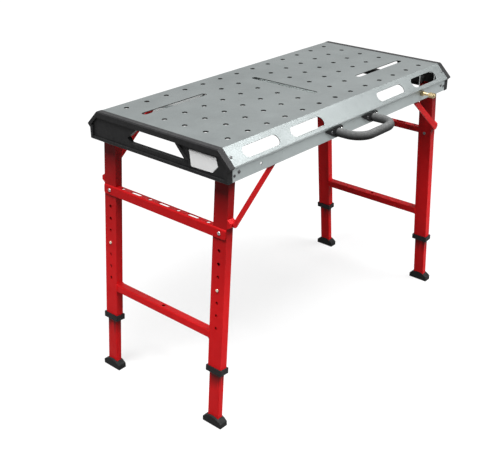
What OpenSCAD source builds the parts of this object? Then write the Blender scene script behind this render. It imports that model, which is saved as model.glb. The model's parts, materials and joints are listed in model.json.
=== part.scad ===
// Portable welding table with two folding leg frames and telescopic legs.
// Lengths are in millimetres and angles in degrees. Z is up and the floor is z = 0.
// X runs along the table and the handle is on the -Y side.
// The origin is under the middle of the whole outline.

/* [Worktop] */
// Overall length of the worktop over both end caps
table_length = 1123; // [1113:1:1133]
// Width of the flat working surface between the two bevels
flat_width = 476; // [474:1:482]
// Height of the working surface above the floor
table_height = 860; // [854:1:864]
// Thickness of the worktop sheet
sheet = 2.5; // [2:0.1:2.6]
// Height of the 45 degree bevel along each long side
bevel_height = 44; // [43:1:46]
// How far the sheet steps back in under each bevel
step_in = 10; // [9:0.5:10.5]
// Distance from the working surface down to the lower edge of the apron
apron_depth = 88; // [88:0.5:92]

/* [Clamping holes] */
// Diameter of the round clamping holes
hole_diameter = 16; // [12:0.5:20]
// Distance between clamping holes, both ways
hole_pitch = 80; // [76:0.5:82]
// Width of the three long slots
slot_width = 20; // [14:0.5:22]

/* [Bevel openings] */
// Length of each finger opening in the bevels
opening_length = 146; // [120:1:160]
// Width of each finger opening, measured down the slope
opening_width = 34; // [26:0.5:36]
// Distance from the middle of the table to the inner openings
inner_opening_x = 215; // [205:1:225]
// Distance from the end of the sheet to the middle of the outer openings
outer_opening_inset = 126.5; // [120:0.5:134]
// Depth of the middle of each opening below the working surface
opening_depth = 23.5; // [22.5:0.5:24]
// Distance from the end of the sheet to the cable hole
cable_hole_inset = 114.5; // [102:0.5:126]
// Depth of the cable hole below the working surface
cable_hole_depth = 67.5; // [66:0.5:74]
// Diameter of the cable hole
cable_hole_diameter = 8; // [6:0.5:10]

/* [End caps] */
// Thickness of each end cap along the table
cap_depth = 20; // [18.5:0.5:22]
// Amount by which the end caps stand proud of the sheet
cap_proud = 0.6; // [0.4:0.1:1]
// Wall thickness of the end caps
cap_wall = 3; // [2.5:0.1:3.5]
// Depth of the recess in the outer face of each end cap
cap_recess = 5; // [4:0.5:6]
// Height of the solid band above the recess
cap_band = 18; // [17:0.5:19]
// Width of the raised rim at the sides and along the bottom of the recess
cap_rim = 10; // [8:0.5:11]
// Length of the tongue that slides in under the sheet
tongue_length = 11; // [9:0.5:12]
// Clearance between the tongue and the sheet
tongue_gap = 0.3; // [0.2:0.05:0.5]
// Depth of the upper edge of the end cap windows below the working surface
window_top = 20; // [19:0.5:22]
// Depth of the lower edge of the end cap windows below the working surface
window_bottom = 65; // [62:0.5:68]
// Distance from the middle to the blunt end of each window, at its upper edge
window_blunt = 75; // [70:1:80]
// Distance from the middle to the upper end of the slanted side of each window
window_slant = 77; // [73:1:80]
// Length of the slanted side of each window, measured across the table
window_lean = 41; // [37:1:42]
// Width of the slanted rib beside each window
rib_width = 6; // [5:0.5:7]
// Distance from the slanted side of a window to its rib
rib_gap = 6; // [5:0.5:8]
// Distance from the middle to the near side of the blank plate
plate_near = 138; // [137:1:144]
// Height of the blank plate
plate_height = 48; // [40:1:50]
// Thickness of the blank plate on the left end cap
blank_plate = 0.8; // [0.5:0.1:1.5]

/* [Cross stiffener] */
// Width of the raised part of the stiffener under the middle of the worktop
stiffener_width = 50; // [40:1:60]
// Height of the stiffener
stiffener_height = 15; // [10:0.5:20]
// Thickness of the stiffener sheet
stiffener_sheet = 1.5; // [1:0.1:2]

/* [Handle] */
// Distance between the centrelines of the two handle arms
handle_span = 184; // [170:1:200]
// Distance from the apron to the centreline of the grip
handle_reach = 92; // [80:1:100]
// Outer diameter of the foam on the handle
grip_diameter = 26.6; // [24:0.2:28]
// Outer diameter of the steel tube inside the foam
handle_tube_diameter = 16; // [14:0.5:18]
// Wall thickness of the steel tube inside the foam
handle_tube_wall = 1.5; // [1:0.1:2]
// Radius of the two bends, to the centreline
handle_bend = 51; // [40:1:60]
// Depth of the handle arms below the working surface
handle_depth = 68; // [67.5:0.5:70]
// Reach of the fin of each handle bracket beyond its arm
bracket_fin = 52; // [48:1:56]
// Distance that each handle bracket stands out from the apron
bracket_reach = 9; // [8.5:0.5:12]

/* [Earth stud] */
// Distance from the end of the sheet to the earth stud
stud_inset = 153.5; // [146:0.5:161]
// Depth of the earth stud below the working surface
stud_depth = 62.5; // [62.5:0.5:66]
// Diameter of the earth stud
stud_diameter = 10; // [8:0.5:12]
// Length of the earth stud outside the apron
stud_length = 53; // [48:1:58]
// Width across the flats of the earth stud nuts
nut_width = 16; // [14:0.5:16]

/* [Leg frames] */
// Outward slope of the legs
leg_splay = 4.7; // [4.6:0.1:4.8]
// Distance from the end of the sheet to the leg centreline at the working surface
leg_inset = 30.2; // [29.5:0.1:30.5]
// Distance from the middle of the table to the leg centreline across the table
leg_y = 225; // [224.5:0.1:225.2]
// Size of the upper leg tube along the table
leg_thick = 25; // [24.8:0.1:25.2]
// Size of the upper leg tube across the table
leg_wide = 50; // [49.6:0.1:50.4]
// Wall thickness of the upper leg tubes
leg_wall = 2; // [1.8:0.05:2.05]
// Distance down the leg to the lower end of the upper leg tubes
leg_end = 684; // [678:1:688]
// Length of upper leg tube above its hinge pin
leg_over_pin = 14; // [12:0.5:14.5]
// Distance down the leg to the top of the lower crossbar
crossbar_drop = 557; // [554:1:560]
// Size of the square lower crossbar
crossbar_size = 25; // [22:0.5:25]
// Diameter of the hole in the top of the lower crossbar
crossbar_hole = 12; // [8:0.5:14]

/* [Tool rail] */
// Distance down the leg to the top of the tool rail
rail_drop = 233.4; // [233:0.1:234]
// Height of the front flange of the tool rail
rail_height = 30; // [28:0.5:31]
// Depth of the top flange of the tool rail
rail_shelf = 22; // [20:0.5:22.5]
// Thickness of the tool rail
rail_sheet = 3; // [2.5:0.1:3.1]
// Diameter of the round tool holes
tool_hole = 13; // [10:0.5:14]
// Length of the tool slots
tool_slot_length = 42; // [36:1:46]
// Width of the tool slots
tool_slot_width = 12; // [8:0.5:13]
// Distance between the middles of neighbouring tool slots
tool_pitch = 116.3; // [114:0.1:118]
// Diameter of the rail screws
rail_screw = 6; // [5:0.5:6.5]

/* [Height adjustment] */
// Distance down the leg to the first adjusting hole
first_hole = 301; // [300:0.5:302]
// Distance between adjusting holes
adjust_step = 40; // [39.8:0.1:40.2]
// Number of adjusting holes in each leg
adjust_holes = 7; // [7:1:7]
// Diameter of the adjusting holes
adjust_hole = 10; // [9:0.5:11]
// Size of the lower leg tube along the table
inner_thick = 20; // [19.8:0.1:20.2]
// Size of the lower leg tube across the table
inner_wide = 40; // [38:0.5:41]
// Wall thickness of the lower leg tubes
inner_wall = 2; // [1.8:0.1:2]
// Length of lower leg tube above its spring button
inner_over_button = 39; // [34:1:42]
// Radial clearance of a spring button in its hole
button_gap = 0.4; // [0.3:0.05:0.6]
// Distance that a spring button stands out of the upper leg tube
button_proud = 3; // [2.5:0.1:3.1]
// Height of the collar at the lower end of each upper leg tube
collar_height = 19; // [16:0.5:22]
// Wall thickness of the collars
collar_wall = 4.4; // [4:0.1:4.5]
// Clearance between a collar and the tubes inside it
collar_gap = 0.3; // [0.2:0.05:0.4]

/* [Feet] */
// Width of each foot along the table
foot_width = 29; // [28:0.5:29.4]
// Length of each foot across the table
foot_length = 72; // [68:1:72]
// Height of each foot
foot_height = 30; // [28:0.5:32]
// Height of each foot at its two ends
foot_end_height = 15; // [12:0.5:18]

/* [Hinges] */
// Depth of the left hinge pins below the working surface
left_hinge_depth = 47.5; // [47.5:0.1:47.8]
// Depth of the right hinge pins below the working surface
right_hinge_depth = 81; // [80.8:0.1:81.2]
// Diameter of the hinge pins
pin_diameter = 8; // [7:0.5:8.5]
// Radial running clearance of the pins
pin_gap = 0.08; // [0.05:0.01:0.1]
// Thickness of the hinge brackets
hinge_plate = 3; // [2.5:0.1:3]
// Side gap between a leg and its hinge bracket
hinge_side_gap = 1; // [0.8:0.05:1]
// Depth of the hinge bracket screws below the working surface
bracket_screw_depth = 65; // [64:0.5:66]

/* [Stays] */
// Depth of the lower stay pivots below the working surface
stay_pivot_depth = 217; // [216.5:0.1:217.5]
// Distance outwards from the leg centreline at the working surface to the lower stay pivots
stay_pivot_out = 11.2; // [11:0.1:11.5]
// Slope of the stays when the legs stand
stay_slope = 40; // [39.5:0.1:40.2]
// Depth of the upper stay studs below the working surface when the legs stand
stay_stud_depth = 45.5; // [45.3:0.1:46]
// Slope of the left stays when the left legs are folded
left_folded_slope = -1; // [-1.5:0.1:-0.8]
// Slope of the right stays when the right legs are folded
right_folded_slope = 4; // [3.5:0.1:5]
// Width of the flat stay bars
stay_width = 20; // [18:0.5:20.2]
// Thickness of the stay bars
stay_sheet = 3; // [2.6:0.1:3.1]
// Diameter of the stay pivots and studs
stay_pin = 8; // [7:0.5:8]
// Side gap between a stay and the parts next to it
stay_side_gap = 0.3; // [0.2:0.05:0.4]
// Clearance on each side of a stay stud in its guide slot
guide_gap = 0.3; // [0.2:0.05:0.4]
// Distance from the leg centreline at the working surface to the guide plate rivets
guide_rivet_in = 174.3; // [172:0.1:178]
// Thickness of the guide plates
guide_plate = 3; // [2.5:0.1:3]
// Amount that the lugs stand out from the legs
lug_reach = 11.2; // [11:0.1:11.3]
// Height of the lugs where they meet the legs
lug_height = 28; // [26:0.5:32]

/* [Hidden] */
$fn = 48;

left = -1;
right = 1;
front = -1;
rear = 1;
big = 2000;
diagonal = sqrt(2);

half_flat = flat_width / 2;
tip_y = half_flat + bevel_height;
apron_y = tip_y - step_in;
inner_y = apron_y - sheet;
cap_x = table_length / 2;
sheet_x = cap_x - cap_depth;
leg_top_x = sheet_x - leg_inset;
stay_pivot_x = leg_top_x + stay_pivot_out;
outer_opening_x = sheet_x - outer_opening_inset;
cable_hole_x = sheet_x - cable_hole_inset;
stud_x = sheet_x - stud_inset;
grid_reach = floor((sheet_x - hole_diameter / 2 - 30) / hole_pitch);
leg_outer_y = leg_y + leg_wide / 2;
leg_inner_y = leg_y - leg_wide / 2;
leg_face = leg_thick / 2;
pin_r = pin_diameter / 2;
stay_pin_r = stay_pin / 2;
button_r = adjust_hole / 2 - button_gap;
button_drop = first_hole + 3 * adjust_step;
floor_drop = table_height / cos(leg_splay);
crossbar_wall = leg_wall;
collar_lip = 3;

fold_angle = 90 + leg_splay;
lug_y = leg_outer_y + lug_reach;
stay_y = lug_y + stay_side_gap;
stay_outer_y = stay_y + stay_sheet;
guide_y = inner_y - guide_plate;
stay_length = (stay_pivot_depth - stay_stud_depth) / sin(stay_slope);

grip_r = grip_diameter / 2;
arm_x = handle_span / 2;
grip_y = apron_y + handle_reach;
front_reach = grip_y + grip_r;
rear_reach = tip_y + cap_proud * diagonal;
middle_y = (front_reach - rear_reach) / 2;

steel = [0.62, 0.64, 0.63];
zinc = [0.75, 0.76, 0.78];
red = [0.78, 0.08, 0.09];
black = [0.09, 0.09, 0.1];
rubber = [0.13, 0.13, 0.13];
brass = [0.78, 0.62, 0.3];
white = [0.93, 0.93, 0.92];

// Points of the worktop section, taken in from the outside by inset, between two depths
function section(inset, top, bottom) = [
    [half_flat + top - inset * diagonal, -top],
    [tip_y - inset * diagonal, -bevel_height],
    [apron_y - inset, -bevel_height - step_in + inset * (diagonal - 1)],
    [apron_y - inset, -bottom],
    [-apron_y + inset, -bottom],
    [-apron_y + inset, -bevel_height - step_in + inset * (diagonal - 1)],
    [-tip_y + inset * diagonal, -bevel_height],
    [-half_flat - top + inset * diagonal, -top]
];

function hinge_depth(side) = side == left ? left_hinge_depth : right_hinge_depth;
function hinge_x(side) = leg_top_x + hinge_depth(side) * tan(leg_splay);
function hinge_drop(side) = hinge_depth(side) / cos(leg_splay);
function folded_slope(side) = side == left ? left_folded_slope : right_folded_slope;

// Path of a stay stud while its leg frame folds, as [distance from the middle, depth]
function pivot_radius(side) =
    norm([hinge_x(side) - stay_pivot_x, stay_pivot_depth - hinge_depth(side)]);
function pivot_start(side) =
    atan2(hinge_x(side) - stay_pivot_x, stay_pivot_depth - hinge_depth(side));
function slope_at(side, f) = stay_slope - (stay_slope - folded_slope(side)) * f;
function stud_at(side, f) = [
    hinge_x(side) - pivot_radius(side) * sin(pivot_start(side) + fold_angle * f)
        - stay_length * cos(slope_at(side, f)),
    hinge_depth(side) + pivot_radius(side) * cos(pivot_start(side) + fold_angle * f)
        - stay_length * sin(slope_at(side, f))
];
function path_normal(side, f) =
    let (d = stud_at(side, f + 0.001) - stud_at(side, f - 0.001))
    [-d[1], d[0]] / norm(d);

// Whole table, moved so that its outline is centred on the origin
module centred() {
    translate([0, middle_y, 0])
        children();
}

// Things measured down from the working surface
module from_top() {
    centred()
        translate([0, 0, table_height])
            children();
}

// Copies a right rear corner to the wanted corner
module corner(side, end) {
    mirror([side == left ? 1 : 0, 0, 0])
        mirror([0, end == front ? 1 : 0, 0])
            children();
}

// Leg coordinates: Z runs up along the leg, X points out of the table
module on_leg(side, end) {
    from_top()
        corner(side, end)
            translate([leg_top_x, 0, 0])
                rotate([0, -leg_splay, 0])
                    children();
}

// Solid that follows the worktop section, from x0 to x1
module section_bar(points, x0, x1) {
    translate([x0, 0, 0])
        rotate([90, 0, 90])
            linear_extrude(height = x1 - x0)
                polygon(points);
}

// Slot standing along Z, running along X
module long_hole(length, width, height) {
    linear_extrude(height = height, center = true) {
        square([length - width, width], center = true);
        translate([(length - width) / 2, 0])
            circle(d = width);
        translate([(width - length) / 2, 0])
            circle(d = width);
    }
}

// Cylinder along Y
module y_rod(radius, y0, y1) {
    translate([0, y1, 0])
        rotate([90, 0, 0])
            cylinder(h = y1 - y0, r = radius);
}

// Cylinder along X
module x_rod(radius, x0, x1) {
    translate([x0, 0, 0])
        rotate([0, 90, 0])
            cylinder(h = x1 - x0, r = radius);
}

// Hexagonal nut along Y with a bore
module y_nut(width, bore, y0, y1) {
    translate([0, y1, 0])
        rotate([90, 0, 0])
            difference() {
                rotate([0, 0, 30])
                    cylinder(h = y1 - y0, r = width / sqrt(3), $fn = 6);
                translate([0, 0, -1])
                    cylinder(h = y1 - y0 + 2, r = bore);
            }
}

// Rectangular tube standing along Z
module box_tube(x, y, wall, z0, z1) {
    difference() {
        translate([-x / 2, -y / 2, z0])
            cube([x, y, z1 - z0]);
        translate([-x / 2 + wall, -y / 2 + wall, z0 - 1])
            cube([x - 2 * wall, y - 2 * wall, z1 - z0 + 2]);
    }
}

// Worktop

// Tells whether a grid position is taken up by one of the long slots
function in_slot(i, j) =
    (i <= -3 && j == 4) || (i >= 3 && j == 1) || (i == 0 && j >= 1 && j <= 4);

module clamping_holes() {
    for (i = [-grid_reach:grid_reach])
        for (j = [0:5])
            if (!in_slot(i, j))
                translate([i * hole_pitch, (j - 2.5) * hole_pitch, 0])
                    cylinder(h = 40, d = hole_diameter, center = true);
    side_slot = (grid_reach - 3) * hole_pitch + slot_width;
    side_middle = (grid_reach + 3) / 2 * hole_pitch;
    translate([-side_middle, 1.5 * hole_pitch, 0])
        long_hole(side_slot, slot_width, 40);
    translate([side_middle, -1.5 * hole_pitch, 0])
        long_hole(side_slot, slot_width, 40);
    rotate([0, 0, 90])
        long_hole(3 * hole_pitch + slot_width, slot_width, 40);
}

module bevel_openings() {
    for (end = [front, rear])
        mirror([0, end == front ? 1 : 0, 0])
            for (x = [-outer_opening_x, -inner_opening_x, inner_opening_x, outer_opening_x])
                translate([x, half_flat + opening_depth, -opening_depth])
                    rotate([-45, 0, 0])
                        long_hole(opening_length, opening_width, 20);
}

module table_top() {
    screw_hole = 2.2;
    color(steel)
        from_top()
            difference() {
                section_bar(section(0, 0, apron_depth), -sheet_x, sheet_x);
                section_bar(section(sheet, sheet, apron_depth + 1), -big / 2, big / 2);
                clamping_holes();
                bevel_openings();
                for (side = [left, right])
                    for (end = [front, rear])
                        corner(side, end) {
                            at_bevel_screw()
                                cylinder(h = 20, r = screw_hole, center = true);
                            at_cap_screw()
                                y_rod(screw_hole, -10, 10);
                            at_bracket_screw()
                                y_rod(screw_hole + 0.5, -5, 5);
                            at_guide_rivet()
                                y_rod(rivet_r + 0.05, -5, 5);
                        }
                for (x = [-arm_x, arm_x])
                    for (dx = [fin_screw, ear_screw])
                        translate([x + dx, -apron_y, -bracket_screw_z])
                            y_rod(handle_screw_r + 0.1, -5, 5);
                translate([-cable_hole_x, -apron_y, -cable_hole_depth])
                    y_rod(cable_hole_diameter / 2, -5, 5);
                translate([stud_x, -apron_y, -stud_depth])
                    y_rod(stud_diameter / 2 + 0.05, -5, 5);
            }
}

stiffener_hole_gap = 6;

module centre_stiffener() {
    w = stiffener_width / 2;
    foot = 16;
    s = stiffener_sheet;
    h = stiffener_height;
    run = half_flat - 4;
    color(zinc)
        from_top()
            difference() {
                translate([0, 0, -sheet])
                    rotate([90, 0, 0])
                        linear_extrude(height = 2 * run, center = true)
                            polygon([
                                [-w - foot, 0], [-w, 0], [-w, -h + s], [w, -h + s], [w, 0],
                                [w + foot, 0], [w + foot, -s], [w + s, -s], [w + s, -h],
                                [-w - s, -h], [-w - s, -s], [-w - foot, -s]
                            ]);
                for (y = [-2.5 * hole_pitch, 2.5 * hole_pitch])
                    translate([0, y, 0])
                        cylinder(h = big, d = hole_diameter + stiffener_hole_gap, center = true);
            }
}

// End caps

screw_inset = 7.5;
cap_screw_x = sheet_x - screw_inset;
bevel_screw_drop = 22.5;
cap_bottom = apron_depth + 1;
window_point = 40;
window_nose = 13;
cap_inner_x = sheet_x + 0.2;
cap_face_x = cap_x - cap_recess;
rivet_r = 4;
guide_rivet_x = leg_top_x - guide_rivet_in;
guide_rivet_depth = apron_depth - 25;
bracket_screw_x = leg_top_x + 4.7;
plate_top = cap_band + 6;

module at_bevel_screw() {
    translate([cap_screw_x, half_flat + bevel_screw_drop, -bevel_screw_drop])
        rotate([-45, 0, 0])
            children();
}

module at_cap_screw() {
    translate([cap_screw_x, apron_y, -apron_depth + 17])
        children();
}

module at_bracket_screw() {
    translate([bracket_screw_x, apron_y, -bracket_screw_depth])
        children();
}

module at_guide_rivet() {
    translate([guide_rivet_x, apron_y, -guide_rivet_depth])
        children();
}

// Window of the end cap, seen along the table, grown by extra
module cap_window(extra) {
    top = -window_top;
    bottom = -window_bottom;
    polygon([
        [window_blunt + extra * 0.5, top + extra],
        [window_blunt + window_point + extra * 1.8, bottom + window_nose + extra * 0.6],
        [window_blunt + window_point - window_nose * 0.85 + extra * 1.2, bottom - extra],
        [-window_slant - window_lean - extra * 1.5, bottom - extra],
        [-window_slant - extra * 0.5, top + extra]
    ]);
}

// End cap of the right side, window point towards the front
module end_cap() {
    wall = cap_wall;
    web_x = cap_face_x - wall;
    difference() {
        union() {
            intersection() {
                section_bar(section(-cap_proud, -cap_proud, cap_bottom), cap_inner_x, cap_x);
                cap_edge_shape();
            }
            difference() {
                section_bar(section(sheet + tongue_gap, sheet + tongue_gap, apron_depth - 2),
                    sheet_x - tongue_length, cap_inner_x + 1);
                section_bar(section(sheet + tongue_gap + wall, sheet + tongue_gap + wall, big),
                    0, big / 2);
            }
        }
        difference() {
            section_bar(section(cap_rim, cap_band, cap_bottom - cap_rim), cap_face_x, big / 2);
            cap_rib();
        }
        difference() {
            section_bar(
                section(sheet + tongue_gap + wall, sheet + tongue_gap + wall, cap_bottom - wall),
                0, web_x);
            cap_slice(0, web_x + 1)
                cap_window(wall);
        }
        cap_slice(0, big / 2)
            cap_window(0);
        for (end = [front, rear])
            mirror([0, end == front ? 1 : 0, 0]) {
                at_bevel_screw()
                    cylinder(h = 24, r = 2.05, center = true);
                at_cap_screw()
                    y_rod(2.05, -12, 12);
            }
    }
}

// Solid between x0 and x1 with the outline of the child, drawn in Y and Z and turned end for end
module cap_slice(x0, x1) {
    translate([x0, 0, 0])
        rotate([90, 0, 90])
            linear_extrude(height = x1 - x0)
                mirror([1, 0, 0])
                    children();
}

module cap_rib() {
    near = -window_slant - rib_gap;
    top = -cap_band + 4;
    bottom = -window_bottom + 9;
    lean = window_lean * (top - bottom) / (window_bottom - window_top);
    cap_slice(0, big / 2)
        polygon([
            [near, top], [near - rib_width, top],
            [near - rib_width - lean, bottom], [near - lean, bottom]
        ]);
}

// Space that leaves small chamfers around the outer edge of the end cap
module cap_edge_shape() {
    c = 3;
    translate([0, big / 2, 0])
        rotate([90, 0, 0])
            linear_extrude(height = big)
                polygon([
                    [0, 10], [cap_x - c, 10], [cap_x - c, cap_proud], [cap_x, cap_proud - c],
                    [cap_x, -cap_bottom + c], [cap_x - c, -cap_bottom],
                    [cap_x - c, -cap_bottom - 10], [0, -cap_bottom - 10]
                ]);
}

module left_end_cap() {
    color(black)
        from_top()
            rotate([0, 0, 180])
                end_cap();
}

module right_end_cap() {
    color(black)
        from_top()
            end_cap();
}

module blank_label_plate() {
    color(white)
        from_top()
            rotate([0, 0, 180])
                cap_slice(cap_face_x, cap_face_x + blank_plate)
                    polygon([
                        [-plate_near + 6, -plate_top], [-half_flat + 9, -plate_top],
                        [-half_flat + 2, -plate_top - 25],
                        [-half_flat + 22, -plate_top - plate_height + 2],
                        [-plate_near, -plate_top - plate_height]
                    ]);
}

module cap_screws() {
    color(zinc)
        from_top()
            for (side = [left, right])
                for (end = [front, rear])
                    corner(side, end) {
                        at_bevel_screw() {
                            cylinder(h = 2, r1 = 4.5, r2 = 3.2);
                            translate([0, 0, -8])
                                cylinder(h = 8.5, r = 2);
                        }
                        at_cap_screw() {
                            y_rod(4.5, 0, 2);
                            y_rod(2, -8, 0.5);
                        }
                    }
}

// Hinges

module hinge_bracket(side) {
    t = hinge_plate;
    x0 = hinge_x(side) - 16;
    width = 26;
    in_y = leg_inner_y - hinge_side_gap;
    out_y = leg_outer_y + hinge_side_gap;
    web_top = out_y + t - half_flat + sheet * diagonal + 1;
    difference() {
        union() {
            translate([x0, in_y - 40, -sheet - t])
                cube([width, 40, t]);
            translate([x0, in_y - t, -apron_depth])
                cube([width, t, apron_depth - sheet]);
            translate([x0, in_y - t, -web_top - t])
                cube([width, out_y - in_y + 2 * t, t]);
            translate([x0, out_y, -apron_depth])
                cube([width, t, apron_depth - web_top]);
            translate([bracket_screw_x, 0, -bracket_screw_depth])
                y_rod(6, out_y + t - 0.5, inner_y);
        }
        translate([hinge_x(side), 0, -hinge_depth(side)])
            y_rod(pin_r + 0.02, in_y - 10, out_y + t + 1);
        translate([bracket_screw_x, 0, -bracket_screw_depth])
            y_rod(2.55, out_y + t + 2, inner_y + 1);
    }
}

module hinge_brackets(side) {
    color(zinc)
        from_top()
            for (end = [front, rear])
                corner(side, end)
                    hinge_bracket(side);
}

module left_hinge_brackets() {
    hinge_brackets(left);
}

module right_hinge_brackets() {
    hinge_brackets(right);
}

module hinge_pins() {
    head_y = leg_outer_y + hinge_side_gap + hinge_plate;
    color(zinc)
        from_top()
            for (side = [left, right])
                for (end = [front, rear])
                    corner(side, end)
                        translate([hinge_x(side), 0, -hinge_depth(side)]) {
                            y_rod(pin_r, leg_inner_y - 10, head_y + 0.5);
                            y_rod(pin_r + 2.5, head_y, head_y + 2.5);
                        }
}

module bracket_screws() {
    color(zinc)
        from_top()
            for (side = [left, right])
                for (end = [front, rear])
                    corner(side, end)
                        at_bracket_screw() {
                            y_rod(5, 0, 2.5);
                            y_rod(2.5, -sheet - 9, 0.5);
                        }
}

// Stay guides

// Slot in a guide plate that follows the stud of a stay
module guide_slot(side) {
    steps = 36;
    r = stay_pin_r + guide_gap;
    upper = [for (i = [0:steps]) stud_at(side, i / steps) + r * path_normal(side, i / steps)];
    lower = [for (i = [0:steps]) stud_at(side, i / steps) - r * path_normal(side, i / steps)];
    back = [for (i = [steps:-1:0]) lower[i]];
    translate([0, inner_y + 1, 0])
        rotate([90, 0, 0])
            linear_extrude(height = guide_plate + 2)
                mirror([0, 1, 0]) {
                    polygon(concat(upper, back));
                    translate(stud_at(side, 0))
                        circle(r = r);
                    translate(stud_at(side, 1))
                        circle(r = r);
                }
}

module stay_guides(side) {
    top = inner_y - half_flat + sheet * diagonal + 1.5;
    path_x = [for (i = [0:36]) stud_at(side, i / 36)[0]];
    x0 = min(path_x) - stay_pin_r - guide_gap - 6;
    x1 = guide_rivet_x + 9;
    color(zinc)
        from_top()
            for (end = [front, rear])
                corner(side, end)
                    difference() {
                        translate([x0, guide_y, -apron_depth + 0.5])
                            cube([x1 - x0, guide_plate, apron_depth - 0.5 - top]);
                        guide_slot(side);
                        at_guide_rivet()
                            y_rod(rivet_r + 0.05, -sheet - 2 * guide_plate, guide_plate);
                    }
}

module left_stay_guides() {
    stay_guides(left);
}

module right_stay_guides() {
    stay_guides(right);
}

module guide_rivets() {
    color(steel)
        from_top()
            for (side = [left, right])
                for (end = [front, rear])
                    corner(side, end)
                        at_guide_rivet()
                            y_rod(rivet_r, -sheet - guide_plate, 0.4);
}

// Handle

handle_screw_r = 2.5;
handle_head_r = 4.6;
bracket_half = 14;
bracket_ear = 28;
bracket_thin = 6;
fin_screw = -26;
ear_screw = 21;
bracket_screw_z = handle_depth - 4.5;
bracket_top = bevel_height + step_in + 1.5;
bracket_bottom = handle_depth + 14;

// Bar with a round section that follows the handle; overrun makes its ends longer
module handle_path(radius, overrun) {
    straight = handle_reach - handle_bend;
    y_rod_at = -apron_y - handle_reach;
    for (side = [left, right])
        mirror([side == left ? 1 : 0, 0, 0]) {
            translate([arm_x, 0, 0])
                mirror([0, 1, 0])
                    y_rod(radius, apron_y - overrun, apron_y + straight);
            translate([arm_x - handle_bend, -apron_y - straight, 0])
                rotate([0, 0, -90])
                    rotate_extrude(angle = 90, $fn = 64)
                        translate([handle_bend, 0])
                            circle(r = radius);
        }
    translate([-(arm_x - handle_bend), y_rod_at, 0])
        x_rod(radius, 0, 2 * (arm_x - handle_bend));
}

module handle_tube() {
    color(steel)
        from_top()
            translate([0, 0, -handle_depth])
                difference() {
                    handle_path(handle_tube_diameter / 2, 0);
                    handle_path(handle_tube_diameter / 2 - handle_tube_wall, 1);
                }
}

module handle_grip() {
    color(rubber)
        from_top()
            translate([0, 0, -handle_depth])
                difference() {
                    handle_path(grip_r, 0);
                    handle_path(handle_tube_diameter / 2 + 0.3, 1);
                    translate([-big / 2, -apron_y - bracket_reach - 0.3, -big / 2])
                        cube([big, apron_y, big]);
                }
}

module handle_bracket() {
    difference() {
        intersection() {
            translate([0, -apron_y, 0])
                rotate([90, 0, 0])
                    linear_extrude(height = bracket_reach)
                        polygon([
                            [-bracket_fin, -bracket_top], [bracket_ear, -bracket_top],
                            [bracket_ear, -bracket_screw_z - 8], [bracket_half, -bracket_bottom],
                            [-bracket_half + 4, -bracket_bottom], [-bracket_half, -bracket_bottom + 3],
                            [-bracket_fin, -bracket_top - 3]
                        ]);
            linear_extrude(height = big, center = true)
                polygon([
                    [-bracket_fin, -apron_y], [-bracket_fin, -apron_y - 2],
                    [-bracket_half, -apron_y - bracket_reach],
                    [bracket_half, -apron_y - bracket_reach],
                    [bracket_half + 2, -apron_y - bracket_thin],
                    [bracket_ear, -apron_y - bracket_thin], [bracket_ear, -apron_y]
                ]);
        }
        translate([0, -apron_y, -handle_depth])
            mirror([0, 1, 0])
                y_rod(handle_tube_diameter / 2 + 0.1, -1, bracket_reach + 1);
        for (dx = [fin_screw, ear_screw])
            translate([dx, -apron_y, -bracket_screw_z])
                mirror([0, 1, 0]) {
                    y_rod(handle_screw_r + 0.1, -1, bracket_reach + 1);
                    y_rod(handle_head_r + 0.4, bracket_thin, bracket_reach + 1);
                }
    }
}

module handle_brackets() {
    color(black)
        from_top()
            for (x = [-arm_x, arm_x])
                translate([x, 0, 0])
                    handle_bracket();
}

module handle_screws() {
    color(zinc)
        from_top()
            for (x = [-arm_x, arm_x])
                for (dx = [fin_screw, ear_screw])
                    translate([x + dx, -apron_y, -bracket_screw_z])
                        mirror([0, 1, 0]) {
                            y_rod(handle_head_r, bracket_thin + 0.05, bracket_thin + 2.6);
                            y_rod(handle_screw_r, -sheet + 0.1, bracket_thin + 0.5);
                        }
}

// Earth stud

inner_nut = 4;
stud_gap = 0.05;
stud_tip = 4;
stud_nut_thick = 8;
stud_washer_thick = 1.8;

module on_stud() {
    from_top()
        translate([stud_x, -apron_y, -stud_depth])
            mirror([0, 1, 0])
                children();
}

module earth_stud() {
    color(brass)
        on_stud()
            y_rod(stud_diameter / 2, -sheet - inner_nut, stud_length);
}

module stud_nut(y0, y1) {
    rotate([0, 30, 0])
        y_nut(nut_width, stud_diameter / 2 + stud_gap, y0, y1);
}

module stud_washer(y0) {
    washer(stud_diameter / 2 + stud_gap, nut_width / 2 + 0.2, y0, y0 + stud_washer_thick);
}

module earth_nuts() {
    seat = 0.1;
    stack = stud_washer_thick + 2 * seat;
    outer = stud_length - stud_tip;
    pair = outer - stud_nut_thick - stack;
    color(brass)
        on_stud() {
            stud_nut(-sheet - inner_nut, -sheet - seat);
            stud_washer(seat);
            stud_nut(stack, stack + stud_nut_thick);
            stud_nut(pair - stud_nut_thick, pair);
            stud_washer(pair + seat);
            stud_nut(pair + stack, outer);
        }
}

module washer(bore, radius, y0, y1) {
    difference() {
        y_rod(radius, y0, y1);
        y_rod(bore, y0 - 1, y1 + 1);
    }
}

// Leg frames

module upper_leg(side, end) {
    color(red)
        on_leg(side, end)
            difference() {
                translate([0, leg_y, 0])
                    box_tube(leg_thick, leg_wide, leg_wall,
                        -leg_end, -hinge_drop(side) + leg_over_pin);
                translate([0, 0, -hinge_drop(side)])
                    y_rod(pin_r + pin_gap, leg_inner_y - 1, leg_outer_y + 1);
                for (i = [0:adjust_holes - 1])
                    translate([0, leg_y, -first_hole - i * adjust_step])
                        x_rod(adjust_hole / 2, 0, leg_face + 1);
                translate([0, leg_y, -rail_drop - rail_height / 2])
                    x_rod(rail_screw / 2 + 0.1, -leg_face - 1, leg_face + 1);
            }
}

module left_front_leg() {
    upper_leg(left, front);
}

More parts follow.
